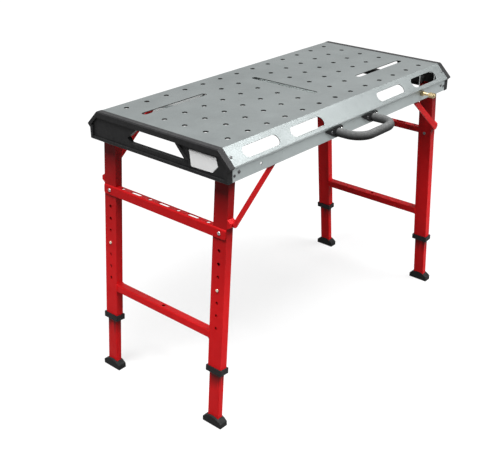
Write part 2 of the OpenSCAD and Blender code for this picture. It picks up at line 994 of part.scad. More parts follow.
module left_rear_leg() {
    upper_leg(left, rear);
}

module right_front_leg() {
    upper_leg(right, front);
}

module right_rear_leg() {
    upper_leg(right, rear);
}

module crossbar(side) {
    color(red)
        on_leg(side, rear)
            difference() {
                translate([0, 0, -crossbar_drop - crossbar_size / 2])
                    rotate([90, 0, 0])
                        box_tube(crossbar_size, crossbar_size, crossbar_wall,
                            -leg_inner_y, leg_inner_y);
                translate([0, 0, -crossbar_drop - 5])
                    cylinder(h = 10, d = crossbar_hole);
            }
}

module left_crossbar() {
    crossbar(left);
}

module right_crossbar() {
    crossbar(right);
}

module tool_rail(side) {
    t = rail_sheet;
    top = -rail_drop;
    reach = leg_outer_y - 1;
    corner_r = 8;
    color(red)
        on_leg(side, rear)
            difference() {
                union() {
                    translate([leg_face, 0, top])
                        rotate([90, 0, 90])
                            linear_extrude(height = t) {
                                translate([-reach, -rail_height + corner_r])
                                    square([2 * reach, rail_height - corner_r]);
                                translate([-reach + corner_r, -rail_height])
                                    square([2 * (reach - corner_r), rail_height]);
                                translate([-reach + corner_r, -rail_height + corner_r])
                                    circle(r = corner_r);
                                translate([reach - corner_r, -rail_height + corner_r])
                                    circle(r = corner_r);
                            }
                    translate([leg_face + t - rail_shelf, -leg_inner_y + 0.5, top - t])
                        cube([rail_shelf, 2 * leg_inner_y - 1, t]);
                }
                translate([leg_face - (rail_shelf - t) / 2, 0, top]) {
                    for (i = [-1:1])
                        translate([0, i * tool_pitch, 0])
                            rotate([0, 0, 90])
                                long_hole(tool_slot_length, tool_slot_width, 3 * t);
                    for (i = [-1.5:1:1.5])
                        translate([0, i * tool_pitch, 0])
                            cylinder(h = 3 * t, d = tool_hole, center = true);
                }
                for (end = [front, rear])
                    translate([0, end * leg_y, top - rail_height / 2])
                        x_rod(rail_screw / 2 + 0.1, 0, 2 * leg_thick);
            }
}

module left_tool_rail() {
    tool_rail(left);
}

module right_tool_rail() {
    tool_rail(right);
}

module rail_screws(side) {
    color(zinc)
        for (end = [front, rear])
            on_leg(side, end)
                translate([0, leg_y, -rail_drop - rail_height / 2]) {
                    x_rod(rail_screw / 2, -leg_face - 2.8, leg_face + rail_sheet + 0.5);
                    x_rod(rail_screw / 2 + 2.5, leg_face + rail_sheet, leg_face + rail_sheet + 2.5);
                    difference() {
                        translate([-leg_face, 0, 0])
                            rotate([0, -90, 0])
                                cylinder(h = 3, r = 5.8, $fn = 6);
                        x_rod(rail_screw / 2 - 0.5, -leg_face - 4, -leg_face + 1);
                    }
                }
}

module left_rail_screws() {
    rail_screws(left);
}

module right_rail_screws() {
    rail_screws(right);
}

module collars(side) {
    x = leg_thick + 2 * collar_wall;
    y = leg_wide + 2 * collar_wall;
    gap = collar_gap;
    color(black)
        for (end = [front, rear])
            on_leg(side, end)
                translate([0, leg_y, -leg_end - collar_lip])
                    difference() {
                        translate([-x / 2, -y / 2, 0])
                            cube([x, y, collar_height]);
                        translate([-leg_face - gap, -leg_wide / 2 - gap, collar_lip - 0.1])
                            cube([leg_thick + 2 * gap, leg_wide + 2 * gap, collar_height]);
                        translate([-inner_thick / 2 - gap, -inner_wide / 2 - gap, -1])
                            cube([inner_thick + 2 * gap, inner_wide + 2 * gap, collar_height]);
                    }
}

module left_collars() {
    collars(left);
}

module right_collars() {
    collars(right);
}

// Place of the lower stay pivot in leg coordinates
pivot_from_top = stay_pivot_x - leg_top_x;
pivot_n = pivot_from_top * cos(leg_splay) - stay_pivot_depth * sin(leg_splay);
pivot_t = pivot_from_top * sin(leg_splay) + stay_pivot_depth * cos(leg_splay);

module at_stay_pivot() {
    translate([pivot_n, 0, -pivot_t])
        children();
}

module lugs(side) {
    w = lug_height / 2;
    lug_tip = stay_pin_r + 2;
    color(red)
        for (end = [front, rear])
            on_leg(side, end)
                difference() {
                    translate([-leg_face, 0, -pivot_t])
                        rotate([90, 0, 90])
                            linear_extrude(height = leg_thick)
                                polygon([
                                    [leg_outer_y, w], [lug_y, lug_tip], [lug_y, -lug_tip],
                                    [leg_outer_y, -w]
                                ]);
                    at_stay_pivot()
                        y_rod(stay_pin_r + 0.02, lug_y - 7, lug_y + 1);
                }
}

module left_lugs() {
    lugs(left);
}

module right_lugs() {
    lugs(right);
}

module lug_rivets(side) {
    color(zinc)
        for (end = [front, rear])
            on_leg(side, end)
                at_stay_pivot() {
                    y_rod(stay_pin_r, lug_y - 6, stay_outer_y - 1.5);
                    translate([0, stay_outer_y - 0.2, 0])
                        rotate([90, 0, 0])
                            cylinder(h = 1.4, r1 = stay_pin_r + 1.4, r2 = stay_pin_r);
                }
}

module left_lug_rivets() {
    lug_rivets(left);
}

module right_lug_rivets() {
    lug_rivets(right);
}

// Lower legs

module inner_leg(side, end) {
    top = -button_drop + inner_over_button;
    color(red)
        on_leg(side, end)
            difference() {
                translate([0, leg_y, 0])
                    box_tube(inner_thick, inner_wide, inner_wall, -floor_drop + 10, top);
                translate([0, leg_y, -button_drop])
                    x_rod(button_r + 0.08, 0, inner_thick);
            }
}

module left_front_inner_leg() {
    inner_leg(left, front);
}

module left_rear_inner_leg() {
    inner_leg(left, rear);
}

module right_front_inner_leg() {
    inner_leg(right, front);
}

module right_rear_inner_leg() {
    inner_leg(right, rear);
}

module foot(side, end) {
    rise = foot_height - foot_end_height;
    dome_r = (foot_length * foot_length / 4 + rise * rise) / (2 * rise);
    color(rubber)
        on_leg(side, end)
            difference() {
                translate([0, leg_y, -floor_drop])
                    rotate([0, leg_splay, 0])
                        intersection() {
                            translate([-foot_width / 2, -foot_length / 2, 0])
                                cube([foot_width, foot_length, foot_height]);
                            translate([0, 0, foot_height - dome_r])
                                x_rod(dome_r, -foot_width, foot_width);
                        }
                translate([-inner_thick / 2 - 0.1, leg_y - inner_wide / 2 - 0.1, -floor_drop + 9.9])
                    cube([inner_thick + 0.2, inner_wide + 0.2, big]);
            }
}

module left_front_foot() {
    foot(left, front);
}

module left_rear_foot() {
    foot(left, rear);
}

module right_front_foot() {
    foot(right, front);
}

module right_rear_foot() {
    foot(right, rear);
}

module button(side, end) {
    inside = inner_thick / 2 - inner_wall;
    color(zinc)
        on_leg(side, end)
            translate([0, leg_y, -button_drop]) {
                x_rod(button_r, inside - 1.5, leg_face + button_proud);
                x_rod(button_r + 1.8, inside - 2.2, inside - 0.1);
                x_rod(2, inside - 9, inside - 1);
            }
}

module left_front_button() {
    button(left, front);
}

module left_rear_button() {
    button(left, rear);
}

module right_front_button() {
    button(right, front);
}

module right_rear_button() {
    button(right, rear);
}

// Bent spring strip behind a button; the stem of the button runs through its hole
module spring(side, end) {
    inside = inner_thick / 2 - inner_wall;
    t = 0.8;
    strip = 12;
    color(zinc)
        on_leg(side, end)
            translate([0, leg_y, -button_drop])
                difference() {
                    rotate([90, 0, 0])
                        linear_extrude(height = strip, center = true)
                            polygon([
                                [-inside, 30], [-inside + t, 30], [-inside + t, -26], [-t, -8],
                                [-t, 8], [0, 8], [0, -8], [-inside + t, -30], [-inside, -30]
                            ]);
                    x_rod(2.4, -2, 2);
                }
}

module left_front_spring() {
    spring(left, front);
}

module left_rear_spring() {
    spring(left, rear);
}

module right_front_spring() {
    spring(right, front);
}

module right_rear_spring() {
    spring(right, rear);
}

// Stays

module stay(side, end) {
    bar_r = stay_width / 2;
    color(red)
        from_top()
            corner(side, end)
                translate([stay_pivot_x, stay_outer_y, -stay_pivot_depth])
                    rotate([0, stay_slope, 0])
                        rotate([90, 0, 0])
                            difference() {
                                union() {
                                    linear_extrude(height = stay_sheet) {
                                        translate([-stay_length, -bar_r])
                                            square([stay_length, stay_width]);
                                        circle(r = bar_r);
                                        translate([-stay_length, 0])
                                            circle(r = bar_r);
                                    }
                                    translate([-stay_length, 0, stay_outer_y - inner_y + 0.3])
                                        cylinder(h = inner_y - stay_outer_y, r = stay_pin_r);
                                }
                                translate([0, 0, -1])
                                    cylinder(h = 10, r = stay_pin_r + pin_gap);
                                translate([0, 0, -0.1])
                                    cylinder(h = 1.8, r1 = stay_pin_r + 1.9, r2 = stay_pin_r + 0.1);
                            }
}

module left_front_stay() {
    stay(left, front);
}

module left_rear_stay() {
    stay(left, rear);
}

module right_front_stay() {
    stay(right, front);
}

module right_rear_stay() {
    stay(right, rear);
}

// Draw the wanted node, or all of them
table_top();
centre_stiffener();
left_end_cap();
right_end_cap();
blank_label_plate();
cap_screws();
left_hinge_brackets();
right_hinge_brackets();
hinge_pins();
bracket_screws();
left_stay_guides();
right_stay_guides();
guide_rivets();
handle_tube();
handle_grip();
handle_brackets();
handle_screws();
earth_stud();
earth_nuts();
left_front_leg();
left_rear_leg();
left_crossbar();
left_tool_rail();
left_rail_screws();
left_collars();
left_lugs();
left_lug_rivets();
right_front_leg();
right_rear_leg();
right_crossbar();
right_tool_rail();
right_rail_screws();
right_collars();
right_lugs();
right_lug_rivets();
left_front_inner_leg();
left_front_foot();
left_front_button();
left_front_spring();
left_rear_inner_leg();
left_rear_foot();
left_rear_button();
left_rear_spring();
right_front_inner_leg();
right_front_foot();
right_front_button();
right_front_spring();
right_rear_inner_leg();
right_rear_foot();
right_rear_button();
right_rear_spring();
left_front_stay();
left_rear_stay();
right_front_stay();
right_rear_stay();
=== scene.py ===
import json
import math

import bmesh
import bpy
from mathutils import Matrix, Vector

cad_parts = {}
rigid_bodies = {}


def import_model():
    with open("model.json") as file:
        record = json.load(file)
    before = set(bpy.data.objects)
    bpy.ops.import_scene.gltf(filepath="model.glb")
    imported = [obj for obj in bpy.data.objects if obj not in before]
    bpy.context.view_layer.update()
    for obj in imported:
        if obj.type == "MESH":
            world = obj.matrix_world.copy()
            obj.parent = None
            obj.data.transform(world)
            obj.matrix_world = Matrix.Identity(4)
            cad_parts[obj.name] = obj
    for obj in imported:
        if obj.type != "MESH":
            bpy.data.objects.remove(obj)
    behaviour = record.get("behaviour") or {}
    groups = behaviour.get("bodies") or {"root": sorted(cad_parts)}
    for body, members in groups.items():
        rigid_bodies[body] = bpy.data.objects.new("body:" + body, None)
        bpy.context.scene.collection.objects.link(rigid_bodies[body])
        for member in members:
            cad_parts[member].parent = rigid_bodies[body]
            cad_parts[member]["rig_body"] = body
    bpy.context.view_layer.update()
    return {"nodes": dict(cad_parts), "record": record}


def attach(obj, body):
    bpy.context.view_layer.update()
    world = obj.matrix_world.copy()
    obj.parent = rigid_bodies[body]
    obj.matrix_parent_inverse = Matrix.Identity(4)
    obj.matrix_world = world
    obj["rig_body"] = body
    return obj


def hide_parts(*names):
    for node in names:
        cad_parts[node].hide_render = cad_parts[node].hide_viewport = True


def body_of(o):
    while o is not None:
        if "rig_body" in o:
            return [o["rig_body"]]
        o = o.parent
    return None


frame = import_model()
NODES = frame["nodes"]

# Sizes in millimetres, measured from the middle of the table at the height of the working surface

# The table's middle lies MID behind the origin and its surface TOP above the floor
MID = 47.225736
TOP = 860.0
SIDES = {"left": -1, "right": 1}
ENDS = {"front": -1, "rear": 1}

# Worktop sheet: half its width in the flat, at its widest and over the aprons, then the depths of
# bevel, step and aprons, its thickness and half its length
FLAT, TIP, APRON = 238.0, 282.0, 272.0
BEVEL, STEP, DEPTH = 44.0, 54.0, 88.0
SHEET, SHEET_X = 2.5, 541.5
PITCH, HOLE_R, THROUGH = 80, 8, (-9, 5)
HOLE_COLLAR = ((8.05, -2.0), (8.05, -4.4), (8.25, -4.6), (8.9, -4.6), (9.1, -4.4), (9.3, -2.0))
SLOT_LONG, SLOT_WIDE, SLOT_X, SLOT_Y = 260, 20, 360, 120
WINDOWS_X, WINDOW_LONG, WINDOW_WIDE, WINDOW_IN = (-415, -215, 215, 415), 146, 34, 23.5
CABLE_X, CABLE_DROP, CABLE_R = -427, 67.5, 4

# Leg frames: place and lean of the legs, tool rail and lower crossbar
SPLAY = math.radians(4.7)
LEG_X, LEG_Y, LEG_THICK = 511.3, 225.0, 25.0
RAIL_DROP, RAIL_HIGH, RAIL_SHEET, RAIL_SHELF, RAIL_END = 233.4, 30.0, 3.0, 22.0, 249
SHELF_END, RAIL_CORNER, RAIL_PITCH = 199.5, 8, 116.3
RAIL_SLOT_LONG, RAIL_SLOT_WIDE, RAIL_HOLE_R = 42, 12, 6.5
BAR_DROP, BAR_SIZE = 569.5, 25.0
WELD_Y, WELD_R, WELD_RIPPLE, WELD_STEP = 199.3, 2.0, 0.35, 3.3

# Handle and earth stud. GRIP_ENDS has the grip's distance from the bracket and the loss of radius
HANDLE_DROP, ARM_X, GRIP_Y, GRIP_R, GRIP_BEND = 68.0, 92.0, 364.0, 13.3, 51.0
BRACKET_FACE = 281.0
GRIP_ENDS = ((0.3, 1.6), (0.6, 0.7), (1.1, 0.2), (1.9, 0.0))
STUD_X, STUD_DROP, STUD_R, STUD_IN, STUD_OUT = 388.0, 62.5, 5.0, -6.4, 53.0
THREAD_PITCH, THREAD_DEEP, THREAD_SIDES = 1.5, 0.75, 24


# Materials

def new_material(name):
    m = bpy.data.materials.new(name)
    m.use_nodes = True
    nt = m.node_tree
    return m, nt, nt.nodes["Principled BSDF"]


def noise(nt, scale, detail=4.0, rough=0.55, stretch=(1, 1, 1), seed=0.0):
    co = nt.nodes.new("ShaderNodeTexCoord")
    mp = nt.nodes.new("ShaderNodeMapping")
    mp.inputs["Scale"].default_value = stretch
    mp.inputs["Location"].default_value = (seed, seed * 0.7, seed * 1.3)
    n = nt.nodes.new("ShaderNodeTexNoise")
    n.inputs["Scale"].default_value = scale
    n.inputs["Detail"].default_value = detail
    n.inputs["Roughness"].default_value = rough
    nt.links.new(co.outputs["Object"], mp.inputs["Vector"])
    nt.links.new(mp.outputs["Vector"], n.inputs["Vector"])
    return n.outputs["Fac"]


def ramp(nt, fac, stops):
    r = nt.nodes.new("ShaderNodeValToRGB")
    while len(r.color_ramp.elements) < len(stops):
        r.color_ramp.elements.new(0.5)
    for e, (pos, col) in zip(r.color_ramp.elements, stops):
        e.position = pos
        e.color = (*col, 1)
    nt.links.new(fac, r.inputs["Fac"])
    return r.outputs["Color"]


def level(nt, fac, lo, hi, a=0.3, b=0.7):
    r = nt.nodes.new("ShaderNodeMapRange")
    r.inputs["From Min"].default_value = a
    r.inputs["From Max"].default_value = b
    r.inputs["To Min"].default_value = lo
    r.inputs["To Max"].default_value = hi
    nt.links.new(fac, r.inputs["Value"])
    return r.outputs["Result"]


def mixed(nt, fac, a, b):
    m = nt.nodes.new("ShaderNodeMix")
    m.data_type = "RGBA"
    nt.links.new(fac, m.inputs["Factor"])
    for socket, value in ((m.inputs[6], a), (m.inputs[7], b)):
        if isinstance(value, tuple):
            socket.default_value = (*value, 1)
        else:
            nt.links.new(value, socket)
    return m.outputs[2]


def bump(nt, p, fac, strength, distance):
    b = nt.nodes.new("ShaderNodeBump")
    b.inputs["Strength"].default_value = strength
    b.inputs["Distance"].default_value = distance
    nt.links.new(fac, b.inputs["Height"])
    old = p.inputs["Normal"].links
    if old:
        nt.links.new(old[0].from_socket, b.inputs["Normal"])
    nt.links.new(b.outputs["Normal"], p.inputs["Normal"])


def surface(name, dark, light, rough, metal=0.0, tone=(40, 4), grain=(900, 0.15, 0.0002),
            spec=0.5, marks=None):
    """A finish between two colours.

    tone is the scale and detail of its mottling, grain the scale, strength and height of its
    bumps, and marks the scale, stretch, share and colour of its spots."""
    m, nt, p = new_material(name)
    fac = noise(nt, tone[0], tone[1], 0.6)
    colour = ramp(nt, fac, [(0.32, dark), (0.68, light)])
    if marks:
        mark_scale, mark_stretch, cut, mark_colour = marks
        spots = noise(nt, mark_scale, 5, 0.7, mark_stretch, 5.3)
        colour = mixed(nt, level(nt, spots, 0, 0.55, cut, cut + 0.1), colour, mark_colour)
    nt.links.new(colour, p.inputs["Base Color"])
    nt.links.new(level(nt, noise(nt, tone[0] * 2.3, 3, 0.6, seed=3.1), rough[0], rough[1]),
                 p.inputs["Roughness"])
    bump(nt, p, noise(nt, grain[0], 3, 0.6, seed=7.7), grain[1], grain[2])
    p.inputs["Metallic"].default_value = metal
    p.inputs["Specular IOR Level"].default_value = spec
    return m


MAT = {
    "sheet": surface("rolled_sheet_steel", (0.285, 0.316, 0.316), (0.350, 0.385, 0.384),
                     (0.44, 0.56), metal=0.7, tone=(7, 7), grain=(650, 0.10, 0.0002),
                     marks=(26, (0.4, 3.0, 3.0), 0.66, (0.44, 0.48, 0.475))),
    # Punched edges: partly their own darker bare steel, partly painted shade, near black for the shade
    # inside holes, slots and windows
    "edge_with_painted_shade": surface("punched_edge_with_painted_shade", (0.010, 0.011, 0.011), (0.028, 0.030, 0.029), (0.5, 0.65),
                        tone=(300, 3), grain=(1500, 0.4, 0.0003), spec=0.15),
    "sheet_under": surface("stiffener_steel", (0.52, 0.55, 0.545), (0.64, 0.67, 0.665),
                           (0.35, 0.5), metal=0.6, tone=(20, 5)),
    "red": surface("red_powder_coat", (0.74, 0.009, 0.012), (0.81, 0.012, 0.015), (0.40, 0.52),
                   tone=(25, 4), grain=(480, 0.14, 0.0004), spec=0.10,
                   marks=(60, (1, 1, 1), 0.72, (0.58, 0.008, 0.010))),
    "black": surface("moulded_black_plastic", (0.012, 0.012, 0.0125), (0.019, 0.019, 0.0195),
                     (0.40, 0.54), tone=(60, 5), grain=(2200, 0.25, 0.0002), spec=0.08),
    "rubber": surface("foot_rubber", (0.016, 0.017, 0.017), (0.030, 0.031, 0.031), (0.60, 0.75),
                      tone=(90, 5), grain=(1400, 0.3, 0.0003), spec=0.10),
    "foam": surface("handle_foam", (0.070, 0.072, 0.072), (0.105, 0.107, 0.107), (0.6, 0.75),
                    tone=(160, 6), grain=(1600, 0.5, 0.0005), spec=0.05),
    "zinc": surface("zinc_plate", (0.30, 0.30, 0.295), (0.42, 0.42, 0.415), (0.24, 0.38),
                    metal=0.9, tone=(120, 4)),
    # Blackened steel for the black screws; the same finish is painted shade in screw recesses and on
    # nuts
    "dark": surface("blackened_steel_and_painted_shade", (0.05, 0.05, 0.052), (0.09, 0.09, 0.092), (0.3, 0.42),
                    metal=0.6, tone=(120, 4)),
    "button": surface("button_steel", (0.52, 0.47, 0.36), (0.70, 0.65, 0.52), (0.22, 0.34),
                      metal=0.6, tone=(120, 4)),
    "brass": surface("turned_brass", (0.27, 0.21, 0.11), (0.42, 0.34, 0.20), (0.24, 0.36),
                     metal=0.9, tone=(150, 4)),
    "plate": surface("white_plate", (0.91, 0.91, 0.91), (0.95, 0.95, 0.95), (0.35, 0.45),
                     tone=(30, 3), grain=(300, 0.05, 0.0001)),
}


# Heights in metres over which the streaks and the painted shade under the table come in, and how dark
# the painted shade is at its fullest
STREAKS = 0.118, 0.172
UNDER_TABLE_SHADE, UNDER_TABLE_SHADE_DARK = (0.38, 0.71), 0.33


def multiplied(m, shade):
    """Multiplies a finish's base colour by a colour from its own nodes."""
    nt = m.node_tree
    p = nt.nodes["Principled BSDF"]
    product = nt.nodes.new("ShaderNodeVectorMath")
    product.operation = "MULTIPLY"
    nt.links.new(p.inputs["Base Color"].links[0].from_socket, product.inputs[0])
    nt.links.new(shade, product.inputs[1])
    nt.links.new(product.outputs[0], p.inputs["Base Color"])


def streaked(name, base):
    """Powder coat with dark upright streaks, coming in upwards towards where the sliding tube enters
    its collar.
    """
    m = MAT[base].copy()
    m.name = name
    nt = m.node_tree
    p = nt.nodes["Principled BSDF"]
    clean = p.inputs["Base Color"].links[0].from_socket
    co = nt.nodes.new("ShaderNodeTexCoord")
    axes = nt.nodes.new("ShaderNodeSeparateXYZ")
    nt.links.new(co.outputs["Object"], axes.inputs[0])
    near = level(nt, axes.outputs["Z"], 0, 1, *STREAKS)
    lines = level(nt, noise(nt, 95, 3, 0.55, (1, 1, 0.05), 2.1), 0, 1, 0.40, 0.56)
    streak_fac = nt.nodes.new("ShaderNodeMath")
    streak_fac.operation = "MULTIPLY"
    nt.links.new(near, streak_fac.inputs[0])
    nt.links.new(lines, streak_fac.inputs[1])
    nt.links.new(mixed(nt, streak_fac.outputs[0], clean, (0.13, 0.003, 0.004)), p.inputs["Base Color"])
    return m


def paint_under_table_shade(name, base):
    """Powder coat with painted shade, darker towards the top, for the soft shade under the table."""
    m = MAT[base].copy()
    m.name = name
    nt = m.node_tree
    co = nt.nodes.new("ShaderNodeTexCoord")
    axes = nt.nodes.new("ShaderNodeSeparateXYZ")
    nt.links.new(co.outputs["Object"], axes.inputs[0])
    multiplied(m, ramp(nt, axes.outputs["Z"], [(UNDER_TABLE_SHADE[0], (1, 1, 1)),
                                               (UNDER_TABLE_SHADE[1], (UNDER_TABLE_SHADE_DARK,) * 3)]))
    return m


def paint_light_by_slope(m, upright, sloping, flat):
    """Paints light and shade into a finish by slope: upright faces, faces at 45 degrees and flat ones,
    which the lamps alone light unevenly, each get their own brightness.
    """
    nt = m.node_tree
    co = nt.nodes.new("ShaderNodeTexCoord")
    axes = nt.nodes.new("ShaderNodeSeparateXYZ")
    nt.links.new(co.outputs["Normal"], axes.inputs[0])
    multiplied(m, ramp(nt, axes.outputs["Z"], [(0.0, (upright,) * 3), (0.7, (sloping,) * 3),
                                               (1.0, (flat,) * 3)]))


# Painted light and shade by slope: sheet and red paint darker on flat faces, rubber and foam lighter on
# top.
paint_light_by_slope(MAT["sheet"], 1.08, 0.46, 0.43)
paint_light_by_slope(MAT["red"], 1.0, 0.65, 0.38)
paint_light_by_slope(MAT["rubber"], 0.6, 0.65, 0.75)
paint_light_by_slope(MAT["foam"], 0.4, 0.7, 0.9)
# Painted shade: a copy of the red coat, darker on upright faces, for the tool rails, stays and lugs
# under the table.
MAT["red_shaded"] = MAT["red"].copy()
MAT["red_shaded"].name = "shaded_red_powder_coat"
paint_light_by_slope(MAT["red_shaded"], 0.66, 0.8, 1.0)
MAT["red_streaked"] = streaked("streaked_red_powder_coat", "red")
# Painted shade on the upper legs under the worktop
MAT["red_under_table_shade"] = paint_under_table_shade("red_powder_coat_painted_shade", "red")
SLOT = {s["node"]: s["material_slot"] for s in frame["record"]["subparts"]}


def kind_of(node):
    """The finish of a CAD node, as a key of MAT."""
    if node in ("table_top", "guide_rivets"):
        return "sheet"
    if node == "centre_stiffener" or node.endswith(("stay_guides", "hinge_brackets")):
        return "sheet_under"
    if node == "handle_brackets" or node.endswith(("end_cap", "collars")):
        return "black"
    if node.endswith("foot"):
        return "rubber"
    if node == "handle_grip":
        return "foam"
    if node.startswith("earth"):
        return "brass"
    if node == "blank_label_plate":
        return "plate"
    if node == "cap_screws":
        return "dark"
    if node.endswith("button"):
        return "button"
    if node.endswith("inner_leg"):
        return "red_streaked"
    if node.endswith("_leg"):
        return "red_under_table_shade"
    if any(k in node for k in ("tool_rail", "_stay", "lugs", "lug_rivets")):
        return "red_shaded"
    if node.endswith("crossbar"):
        return "red"
    return "zinc"


# Mesh helpers. Shapes are drawn in millimetres in their own place and then set into the table

TO_TOP = Matrix.Translation((0, MID, TOP))


def corner(side, end):
    """Turns a shape drawn for the right rear corner to another corner of the table."""
    return TO_TOP @ Matrix.Diagonal((SIDES[side], ENDS[end], 1, 1))


def on_leg(side, end):
    """The leaning plane of a leg frame, with Z along the legs."""
    return corner(side, end) @ Matrix.Translation((LEG_X, 0, 0)) @ Matrix.Rotation(-SPLAY, 4, "Y")


def turned(axis, deg):
    return Matrix.Rotation(math.radians(deg), 4, axis)


def moved(x, y, z):
    return Matrix.Translation((x, y, z))


def fillet(pts, radii, seg=4, closed=True):
    """A flat outline with its corners rounded; radii is one number or one for each corner."""
    out, n = [], len(pts)
    if not isinstance(radii, (list, tuple)):
        radii = [radii] * n
    for i, p in enumerate(pts):
        p = Vector(p)
        if radii[i] < 0.01 or (not closed and i in (0, n - 1)):
            out.append(p)
            continue
        a, b = (Vector(pts[i - 1]) - p).normalized(), (Vector(pts[(i + 1) % n]) - p).normalized()
        half = a.angle(b) / 2
        centre = p + (a + b).normalized() * (radii[i] / math.sin(half))
        start = p + a * (radii[i] / math.tan(half)) - centre
        stop = p + b * (radii[i] / math.tan(half)) - centre
        whole = start.angle(stop)
        for k in range(seg + 1):
            f = k / seg
            v = (start * math.sin((1 - f) * whole) + stop * math.sin(f * whole)) / math.sin(whole)
            out.append(centre + v)
    return out


def ring(cx, cy, r, n=36):
    turn = 2 * math.pi / n
    return [Vector((cx + r * math.cos(turn * k), cy + r * math.sin(turn * k))) for k in range(n)]


def slot_loop(cx, cy, length, width, n=14, upright=False):
    """The outline of a slot with round ends, along the first axis or, if upright, the second."""
    r, h = width / 2, (length - width) / 2
    pts = []
    for s in (1, -1):
        for k in range(n + 1):
            a = -math.pi / 2 + math.pi * k / n + (0 if s > 0 else math.pi)
            u, v = s * h + r * math.cos(a), r * math.sin(a)
            pts.append(Vector((cx - v, cy + u) if upright else (cx + u, cy + v)))
    return pts


AXES = {
    "x": lambda p, a: Vector((a, p[0], p[1])),
    "y": lambda p, a: Vector((p[0], a, p[1])),
    "z": lambda p, a: Vector((p[0], p[1], a)),
}


def points(bm, loop, a, axis, move):
    return [bm.verts.new(move @ AXES[axis](p, a)) for p in loop]


def prism(bm, loop, a0, a1, axis="z", move=Matrix()):
    """A solid of the outline loop, drawn out along an axis from a0 to a1."""
    low, high = points(bm, loop, a0, axis, move), points(bm, loop, a1, axis, move)
    bm.faces.new(low)
    bm.faces.new(high[::-1])
    n = len(loop)
    for i in range(n):
        bm.faces.new((low[i], low[(i + 1) % n], high[(i + 1) % n], high[i]))


def channel(bm, outer, inner, a0, a1, axis="x"):
    """A bent sheet between two open outlines, drawn out along an axis from a0 to a1."""
    g = [points(bm, loop, a, axis, Matrix()) for a in (a0, a1) for loop in (outer, inner)]
    n = len(outer)
    for i in range(n - 1):
        j = i + 1
        bm.faces.new((g[0][i], g[0][j], g[2][j], g[2][i]))
        bm.faces.new((g[1][i], g[3][i], g[3][j], g[1][j]))
        bm.faces.new((g[0][i], g[1][i], g[1][j], g[0][j]))
        bm.faces.new((g[2][i], g[2][j], g[3][j], g[3][i]))
    for i in (0, n - 1):
        bm.faces.new((g[0][i], g[2][i], g[3][i], g[1][i]))


def skin(bm, rows, closed=False):
    """Joins rings of points; a ring of one point is a tip."""
    pairs = list(zip(rows, rows[1:]))
    if closed:
        pairs.append((rows[-1], rows[0]))
    for a, b in pairs:
        n = max(len(a), len(b))
        for i in range(n):
            j = (i + 1) % n
            if len(a) == 1:
                bm.faces.new((a[0], b[i], b[j]))
            elif len(b) == 1:
                bm.faces.new((a[i], a[j], b[0]))
            else:
                bm.faces.new((a[i], a[j], b[j], b[i]))


def spin(bm, profile, n, move):
    """Closed solid turned about Z from (radius, height) points that start and end at radius 0."""
    skin(bm, [points(bm, [(0, 0)] if r < 1e-6 else ring(0, 0, r, n), h, "z", move)
              for r, h in profile])


def sweep(bm, path, radii, n=24, closed=False, move=Matrix()):
    """Round bar along a path in 3-D; radii is one number or one for each point."""
    path = [Vector(p) for p in path]
    m = len(path)
    if not isinstance(radii, (list, tuple)):
        radii = [radii] * m
    rows, side = [], None
    for i, p in enumerate(path):
        a = path[i - 1] if closed or i else p
        b = path[(i + 1) % m] if closed or i < m - 1 else p
        along = (b - a).normalized()
        if side is None:
            side = along.orthogonal().normalized()
        side = (side - along * side.dot(along)).normalized()
        up = along.cross(side)
        rows.append([bm.verts.new(move @ (p + (side * c.x + up * c.y) * radii[i]))
                     for c in ring(0, 0, 1, n)])
    skin(bm, rows, closed)
    if not closed:
        bm.faces.new(rows[0])
        bm.faces.new(rows[-1][::-1])


def to_object(bm, name, mat=None):
    bmesh.ops.recalc_face_normals(bm, faces=bm.faces)
    me = bpy.data.meshes.new(name)
    bm.to_mesh(me)
    bm.free()
    if mat:
        me.materials.append(MAT[mat])
    o = bpy.data.objects.new(name, me)
    bpy.context.scene.collection.objects.link(o)
    return o


def applied(o):
    """Turns the modifiers of an object into its mesh."""
    dg = bpy.context.evaluated_depsgraph_get()
    me = bpy.data.meshes.new_from_object(o.evaluated_get(dg))
    o.modifiers.clear()
    old = o.data
    o.data = me
    bpy.data.meshes.remove(old)
    return o


def cut(o, bm, mat="edge_with_painted_shade"):
    """Cuts the solids in bm out of an object; mat is the finish of the cut faces."""
    c = to_object(bm, "cutter", mat)
    m = o.modifiers.new("cut", "BOOLEAN")
    m.operation = "DIFFERENCE"
    m.solver = "EXACT"
    m.material_mode = "TRANSFER"
    m.object = c
    applied(o)
    bpy.data.objects.remove(c)
    return o


def soften(o, width, seg, angle):
    """Rounds the edges that are sharper than an angle in degrees."""
    m = o.modifiers.new("edge", "BEVEL")
    m.width = width
    m.segments = seg
    m.limit_method = "ANGLE"
    m.angle_limit = math.radians(angle)
    m.use_clamp_overlap = True
    return applied(o)


def finish(o, move, body, slot, *nodes, smooth=32):
    """Sets a piece into the table, in metres, on its body, in place of the CAD nodes named."""
    bm = bmesh.new()
    bm.from_mesh(o.data)
    bm.transform(Matrix.Scale(0.001, 4) @ move)
    bmesh.ops.recalc_face_normals(bm, faces=bm.faces)
    lim = math.radians(smooth)
    for f in bm.faces:
        f.smooth = True
    for e in bm.edges:
        e.smooth = len(e.link_faces) == 2 and e.calc_face_angle(0) < lim
    bm.to_mesh(o.data)
    bm.free()
    w = o.modifiers.new("normals", "WEIGHTED_NORMAL")
    w.keep_sharp = True
    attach(o, body)
    if nodes:
        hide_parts(*nodes)
    return o


SHARP, ONE_FACE = math.radians(33), math.radians(0.4)


